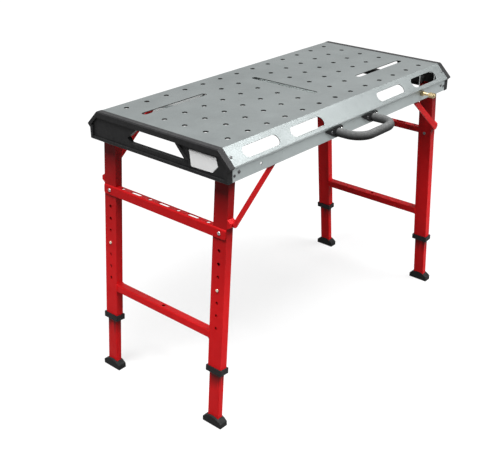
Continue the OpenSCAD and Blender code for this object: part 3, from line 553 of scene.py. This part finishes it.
def form(node, fine=0.5, round_=None, long_=60.0, seg=2, inward=True):
    """A dressed copy of a CAD part: its flat faces joined, its edges rounded.

    Sharp edges longer than long_ get the radius round_, the others get fine, all in millimetres.
    Without inward, the edges in hollows stay sharp."""
    bm = bmesh.new()
    bm.from_mesh(NODES[node].data)
    bm.transform(Matrix.Scale(1000, 4))
    bmesh.ops.remove_doubles(bm, verts=bm.verts, dist=0.01)
    bmesh.ops.dissolve_limit(bm, angle_limit=ONE_FACE, verts=bm.verts, edges=bm.edges)
    wide = round_ or fine
    weight = bm.edges.layers.float.new("bevel_weight_edge")
    for e in bm.edges:
        if (len(e.link_faces) == 2 and e.calc_face_angle(0) > SHARP
                and (inward or e.is_convex)):
            e[weight] = 1.0 if e.calc_length() > long_ else fine / wide
    o = to_object(bm, node + "_form", kind_of(node))
    m = o.modifiers.new("edge", "BEVEL")
    m.width = wide
    m.segments = seg
    m.limit_method = "WEIGHT"
    m.use_clamp_overlap = True
    applied(o)
    return finish(o, Matrix(), body_of(NODES[node])[0], SLOT[node], node)


for name, o in NODES.items():
    o.data.materials.clear()
    o.data.materials.append(MAT[kind_of(name)])

# Worktop sheet, bent from one plate


def section(inset, bottom):
    """The sheet's outline in the YZ plane, moved inwards by inset."""
    d = math.sqrt(2)
    half = [(FLAT + inset * (1 - d), -inset), (TIP - inset * d, -BEVEL),
            (APRON - inset, -STEP + inset * (d - 1)), (APRON - inset, -bottom)]
    return [(-y, z) for y, z in half[::-1]] + half


outer = fillet(section(0, DEPTH), [0, 0.6, 3.4, 3.4, 3.4, 3.4, 0.6, 0], 5, closed=False)
inner = fillet(section(SHEET, DEPTH), [0, 3.1, 0.9, 0.9, 0.9, 0.9, 3.1, 0], 5, closed=False)
bm = bmesh.new()
channel(bm, outer, inner, -SHEET_X, SHEET_X)
top = to_object(bm, "worktop_sheet", "sheet")

# Clamping holes in 13 columns and 6 rows, left out where the three slots are
HOLES = [(i * PITCH, (j - 2.5) * PITCH) for i in range(-6, 7) for j in range(6)
         if not ((i <= -3 and j == 4) or (i >= 3 and j == 1) or (i == 0 and 1 <= j <= 4))]
bm = bmesh.new()
for x, y in HOLES:
    prism(bm, ring(x, y, HOLE_R, 40), *THROUGH)
prism(bm, slot_loop(-SLOT_X, SLOT_Y, SLOT_LONG, SLOT_WIDE), *THROUGH)
prism(bm, slot_loop(SLOT_X, -SLOT_Y, SLOT_LONG, SLOT_WIDE), *THROUGH)
prism(bm, slot_loop(0, 0, SLOT_LONG, SLOT_WIDE, upright=True), *THROUGH)

# Windows in the bevels and the cable hole in the front apron
for e in ENDS.values():
    for x in WINDOWS_X:
        prism(bm, slot_loop(x, 0, WINDOW_LONG, WINDOW_WIDE, 18), -8, 8,
              move=moved(0, e * (FLAT + WINDOW_IN), -WINDOW_IN) @ turned("X", -e * 45))
prism(bm, ring(CABLE_X, -CABLE_DROP, CABLE_R, 24), -APRON - 5, -APRON + 5, "y")
cut(top, bm)
soften(top, 0.35, 2, 50)

# Collars of the punched holes, in the near-black edge finish that paints the shade inside them
bm = bmesh.new()
bm.from_mesh(top.data)
first = len(bm.faces)
for x, y in HOLES:
    skin(bm, [points(bm, ring(x, y, r, 40), z, "z", Matrix()) for r, z in HOLE_COLLAR],
         closed=True)
bm.faces.ensure_lookup_table()
for f in bm.faces[first:]:
    f.material_index = 1
bm.to_mesh(top.data)
bm.free()
finish(top, TO_TOP, "worktop", "galvanised_sheet", "table_top")

# Parts that keep the CAD shape and get rounded edges

for side in SIDES:
    form(side + "_end_cap", 0.7, 1.2, 40)
    form(side + "_crossbar", 0.3, 2.6, 80, seg=3)
    form(side + "_collars", 0.8, 1.4, 24, seg=3, inward=False)
    form(side + "_lugs", 0.8)
    form(side + "_hinge_brackets", 0.4)
    for end in ENDS:
        form(side + "_" + end + "_leg", 0.4, 3.0, 200, seg=4)
        form(side + "_" + end + "_inner_leg", 0.3, 2.2, 200, seg=3)
        form(side + "_" + end + "_foot", 1.4, seg=3)
        form(side + "_" + end + "_stay", 0.4, inward=False)
        form(side + "_" + end + "_button", 1.1, seg=3, inward=False)
form("handle_brackets", 1.0, 1.6, 25)
form("centre_stiffener", 0.4, 1.0, 60)
form("blank_label_plate", 0.2)
form("earth_nuts", 0.35)
form("hinge_pins", 0.7)
form("guide_rivets", 0.7)

# Tool rails, bent from flat bar, with holes for tools

for side in SIDES:
    face, back = LEG_THICK / 2, LEG_THICK / 2 + RAIL_SHEET - RAIL_SHELF
    profile = fillet([(face + RAIL_SHEET, -RAIL_HIGH), (face + RAIL_SHEET, 0), (back, 0),
                      (back, -RAIL_SHEET), (face, -RAIL_SHEET), (face, -RAIL_HIGH)],
                     [0.6, 5.0, 0.6, 0.6, 2.0, 0.6], 7)
    bm = bmesh.new()
    prism(bm, profile, -RAIL_END, RAIL_END, "y")
    rail = to_object(bm, side + "_tool_rail_form", "red_shaded")

    # The shelf ends before the legs, and the lower corners of the tabs over them are round
    bm = bmesh.new()
    low, cx, cz = -RAIL_HIGH - 3, RAIL_END - RAIL_CORNER, RAIL_CORNER - RAIL_HIGH
    for e in ENDS.values():
        a, b = sorted((e * SHELF_END, e * (RAIL_END + 11)))
        prism(bm, [(-30, a), (face, a), (face, b), (-30, b)], -10, 5)
        curve = [Vector((e * (cx + RAIL_CORNER * math.cos(a)), cz + RAIL_CORNER * math.sin(a)))
                 for a in (math.radians(-90 + 10 * k) for k in range(10))]
        prism(bm, [(e * cx, low), *curve, (e * (RAIL_END + 4), cz), (e * (RAIL_END + 4), low)],
              face - 3, face + 8, "x")
    middle = face - (RAIL_SHELF - RAIL_SHEET) / 2
    for i in (-1, 0, 1):
        prism(bm, slot_loop(middle, i * RAIL_PITCH, RAIL_SLOT_LONG, RAIL_SLOT_WIDE, upright=True),
              -8, 4)
    for i in (-1.5, -0.5, 0.5, 1.5):
        prism(bm, ring(middle, i * RAIL_PITCH, RAIL_HOLE_R), -8, 4)
    cut(rail, bm, "red_shaded")
    soften(rail, 0.4, 2, 40)
    finish(rail, on_leg(side, "rear") @ moved(0, 0, -RAIL_DROP), side + "_leg_frame", "red_paint",
           side + "_tool_rail")

# Handle grip, a foam sleeve on the bent tube

start = BRACKET_FACE + GRIP_ENDS[0][0]
path = fillet([(ARM_X, -start), (ARM_X, -GRIP_Y), (-ARM_X, -GRIP_Y), (-ARM_X, -start)],
              [0, GRIP_BEND, GRIP_BEND, 0], 16, closed=False)
ends = [Vector((ARM_X, -BRACKET_FACE - y)) for y, _ in GRIP_ENDS]
path = ends + path[1:-1] + [Vector((-p.x, p.y)) for p in ends[::-1]]
tips = [GRIP_R - less for _, less in GRIP_ENDS]
radii = tips + [GRIP_R] * (len(path) - 2 * len(tips)) + tips[::-1]
bm = bmesh.new()
sweep(bm, [(p.x, p.y, -HANDLE_DROP) for p in path], radii, 40)
finish(to_object(bm, "foam_grip", "foam"), TO_TOP, "worktop", SLOT["handle_grip"], "handle_grip")

# Threaded earth stud

bm = bmesh.new()
steps = int((STUD_OUT - STUD_IN) / THREAD_PITCH * 6)
rows = [[bm.verts.new((0, 0, STUD_IN))]]
for k in range(steps + 1):
    h = STUD_IN + (STUD_OUT - STUD_IN) * k / steps
    wave = [abs(((h / THREAD_PITCH - i / THREAD_SIDES) % 1) * 2 - 1) for i in range(THREAD_SIDES)]
    tip = 1 - 0.16 * max(0, h - STUD_OUT + 1.2) / 1.2
    rows.append([bm.verts.new((p.x * (STUD_R - THREAD_DEEP * w) * tip,
                               p.y * (STUD_R - THREAD_DEEP * w) * tip, h))
                 for p, w in zip(ring(0, 0, 1, THREAD_SIDES), wave)])
rows.append([bm.verts.new((0, 0, STUD_OUT))])
skin(bm, rows)
finish(to_object(bm, "threaded_earth_stud", "brass"),
       TO_TOP @ moved(STUD_X, -APRON, -STUD_DROP) @ turned("X", 90), "worktop", SLOT["earth_stud"],
       "earth_stud", smooth=60)

# Screws with cross recesses


def plus(arm, wide):
    """The outline of a cross recess."""
    a, w = arm, wide / 2
    return [(a, -w), (a, w), (w, w), (w, a), (-w, a), (-w, w), (-a, w), (-a, -w), (-w, -w),
            (-w, -a), (w, -a), (w, -w)]


def screws(name, places, r, high, shank, deep, mat, body, *nodes, nuts=()):
    """Domed screws of radius r, each with its head on the face at one of the places and its shank
    going in by deep, and hexagon nuts on the places in nuts. The cross recesses and the nuts get the
    dark finish, which paints shade into them."""
    bm, holes = bmesh.new(), bmesh.new()
    for m in places:
        spin(bm, [(0, -deep), (shank, -deep), (shank, 0), (r * 0.93, 0), (r, high * 0.12),
                  (r, high * 0.35), (r * 0.86, high * 0.75), (r * 0.5, high * 0.97), (0, high)],
             32, m)
        prism(holes, plus(r * 0.55, r * 0.22), high * 0.35, high + 1, "z", m)
    o = to_object(bm, name, mat)
    # The cross recesses get the dark finish: painted shade in the recesses
    cut(o, holes, "dark")
    if nuts:
        bm = bmesh.new()
        bm.from_mesh(o.data)
        first = len(bm.faces)
        for m in nuts:
            spin(bm, [(0, 0.05), (5.4, 0.05), (5.8, 0.4), (5.8, 2.5), (5.2, 3.0), (0, 3.0)], 6, m)
        # The nuts get the dark finish: painted shade on the nuts inside the frames
        o.data.materials.append(MAT["dark"])
        bm.faces.ensure_lookup_table()
        for f in bm.faces[first:]:
            f.material_index = len(o.data.materials) - 1
        bm.to_mesh(o.data)
        bm.free()
    return finish(o, Matrix(), body, SLOT[nodes[0]], *nodes)


REAR_FACE = turned("X", -90)
CORNERS = [(side, end) for side in SIDES for end in ENDS]
CAP_SCREW_X = SHEET_X - 7.5
CAP_SCREW_IN = 22.5
screws("dark_cap_screws",
       [corner(*c) @ moved(CAP_SCREW_X, FLAT + CAP_SCREW_IN, -CAP_SCREW_IN) @ turned("X", -45)
        for c in CORNERS]
       + [corner(*c) @ moved(CAP_SCREW_X, APRON, -71) @ REAR_FACE for c in CORNERS],
       4.5, 2.0, 2.0, 8.0, "dark", "worktop", "cap_screws")
screws("hinge_bracket_screws",
       [corner(*c) @ moved(LEG_X + 4.7, APRON, -65) @ REAR_FACE for c in CORNERS],
       5.0, 2.5, 2.5, 11.5, "dark", "worktop", "bracket_screws")
BRACKET_FLANGE = 6.05
for name, dx, mat in (("handle_fin_screws", -26, "dark"), ("handle_ear_screws", 21, "zinc")):
    screws(name, [TO_TOP @ moved(x + dx, -APRON - BRACKET_FLANGE, 4.5 - HANDLE_DROP)
                  @ turned("X", 90) for x in (-ARM_X, ARM_X)],
           4.6, 2.55, 2.5, 8.4, mat, "worktop", "handle_screws")
LEG_FACE = LEG_THICK / 2
for side in SIDES:
    at = [on_leg(side, end) @ moved(0, LEG_Y, -RAIL_DROP - RAIL_HIGH / 2) for end in ENDS]
    screws(side + "_rail_bolts",
           [m @ moved(LEG_FACE + RAIL_SHEET, 0, 0) @ turned("Y", 90) for m in at],
           5.5, 2.5, 3.0, 30.8, "zinc", side + "_leg_frame", side + "_rail_screws",
           nuts=[m @ moved(-LEG_FACE, 0, 0) @ turned("Y", -90) for m in at])

# Weld beads around the ends of the crossbars, with ripples

for side in SIDES:
    bm = bmesh.new()
    half = BAR_SIZE / 2 + 0.2
    loop = fillet([(-half, -half), (half, -half), (half, half), (-half, half)], 3, 4)
    for e in ENDS.values():
        path = []
        for i, p in enumerate(loop):
            q = loop[(i + 1) % len(loop)]
            n = max(1, round((q - p).length / 1.6))
            path += [p.lerp(q, k / n) for k in range(n)]
        ripples = round(len(path) / WELD_STEP)
        radii = [WELD_R + WELD_RIPPLE * math.sin(2 * math.pi * i * ripples / len(path))
                 for i in range(len(path))]
        sweep(bm, [(p.x, e * WELD_Y, p.y) for p in path], radii, 10, closed=True)
    finish(to_object(bm, side + "_crossbar_welds", "red"),
           on_leg(side, "rear") @ moved(0, 0, -BAR_DROP), side + "_leg_frame", "red_paint",
           smooth=70)

# Camera

cam_data = bpy.data.cameras.new("camera")
cam_data.sensor_width = 36.0
cam_data.lens = 60.72
cam_data.clip_start, cam_data.clip_end = 0.05, 50
cam = bpy.data.objects.new("camera", cam_data)
bpy.context.scene.collection.objects.link(cam)
cam.location = (-2.0198, -1.5811, 1.6188)
cam.rotation_euler = [math.radians(a) for a in (64.2516, 0.1731, -48.8225)]
bpy.context.scene.camera = cam

# Floor, light and background


def area(name, at, to, size, power):
    """A rectangular lamp, in metres and watts."""
    d = bpy.data.lights.new(name, "AREA")
    d.shape = "RECTANGLE"
    d.size, d.size_y = size
    d.energy = power
    o = bpy.data.objects.new(name, d)
    bpy.context.scene.collection.objects.link(o)
    o.location = at
    o.rotation_euler = (Vector(to) - Vector(at)).to_track_quat("-Z", "Y").to_euler()


def white_when_seen(nt, plain, shown, out_socket):
    """Camera, glossy and transmission rays see the plain white backdrop, the rest sees plain."""
    path = nt.nodes.new("ShaderNodeLightPath")
    seen = path.outputs["Is Camera Ray"]
    for kind in ("Is Glossy Ray", "Is Transmission Ray"):
        either = nt.nodes.new("ShaderNodeMath")
        either.operation = "MAXIMUM"
        nt.links.new(seen, either.inputs[0])
        nt.links.new(path.outputs[kind], either.inputs[1])
        seen = either.outputs[0]
    mix = nt.nodes.new("ShaderNodeMixShader")
    nt.links.new(seen, mix.inputs["Fac"])
    nt.links.new(plain, mix.inputs[1])
    nt.links.new(shown, mix.inputs[2])
    nt.links.new(mix.outputs[0], out_socket)


bm = bmesh.new()
bmesh.ops.create_grid(bm, x_segments=2, y_segments=2, size=12)
me = bpy.data.meshes.new("floor")
bm.to_mesh(me)
bm.free()
floor = bpy.data.objects.new("floor", me)
floor.location = (0, 0, -0.0005)
bpy.context.scene.collection.objects.link(floor)
fm, fnt, fp = new_material("pale_floor")
fp.inputs["Base Color"].default_value = (0.1, 0.1, 0.1, 1)
fp.inputs["Roughness"].default_value = 0.9
fp.inputs["Specular IOR Level"].default_value = 0.1

# The floor glows more, and shows less shadow, the farther it is from the middle in metres
SHADOW_FADES = 0.8, 1.5
GLOW_SHARE = 0.66, 1.0
place = fnt.nodes.new("ShaderNodeNewGeometry")
away = fnt.nodes.new("ShaderNodeVectorMath")
away.operation = "LENGTH"
fnt.links.new(place.outputs["Position"], away.inputs[0])
pale = fnt.nodes.new("ShaderNodeBsdfDiffuse")
pale.inputs["Color"].default_value = (0.75, 0.75, 0.75, 1)
glow = fnt.nodes.new("ShaderNodeEmission")
glow.inputs["Strength"].default_value = 1.08
part_lit = fnt.nodes.new("ShaderNodeMixShader")
fnt.links.new(level(fnt, away.outputs["Value"], *GLOW_SHARE, *SHADOW_FADES),
              part_lit.inputs["Fac"])
fnt.links.new(pale.outputs[0], part_lit.inputs[1])
fnt.links.new(glow.outputs[0], part_lit.inputs[2])
white_when_seen(fnt, fp.outputs[0], part_lit.outputs[0],
                fnt.nodes["Material Output"].inputs["Surface"])
me.materials.append(fm)

area("key", (0.5, -1.45, 3.4), (0, -0.2, 0.4), (3.6, 1.9), 212)
area("left", (-1.5, 0.0, 3.6), (-0.4, 0, 0.4), (1.6, 1.3), 165)
area("shine", (1.06, -1.43, 2.66), (-0.5, -0.26, 0.84), (0.9, 0.9), 20)

world = bpy.data.worlds.new("studio")
bpy.context.scene.world = world
world.use_nodes = True
wn = world.node_tree
wn.nodes.clear()
out = wn.nodes.new("ShaderNodeOutputWorld")
lit = wn.nodes.new("ShaderNodeBackground")
lit.inputs["Color"].default_value = (1, 1, 1, 1)
lit.inputs["Strength"].default_value = 0.03
seen = wn.nodes.new("ShaderNodeBackground")
seen.inputs["Color"].default_value = (1, 1, 1, 1)
seen.inputs["Strength"].default_value = 1.0
white_when_seen(wn, lit.outputs[0], seen.outputs[0], out.inputs["Surface"])

bpy.context.scene.view_settings.view_transform = "Standard"
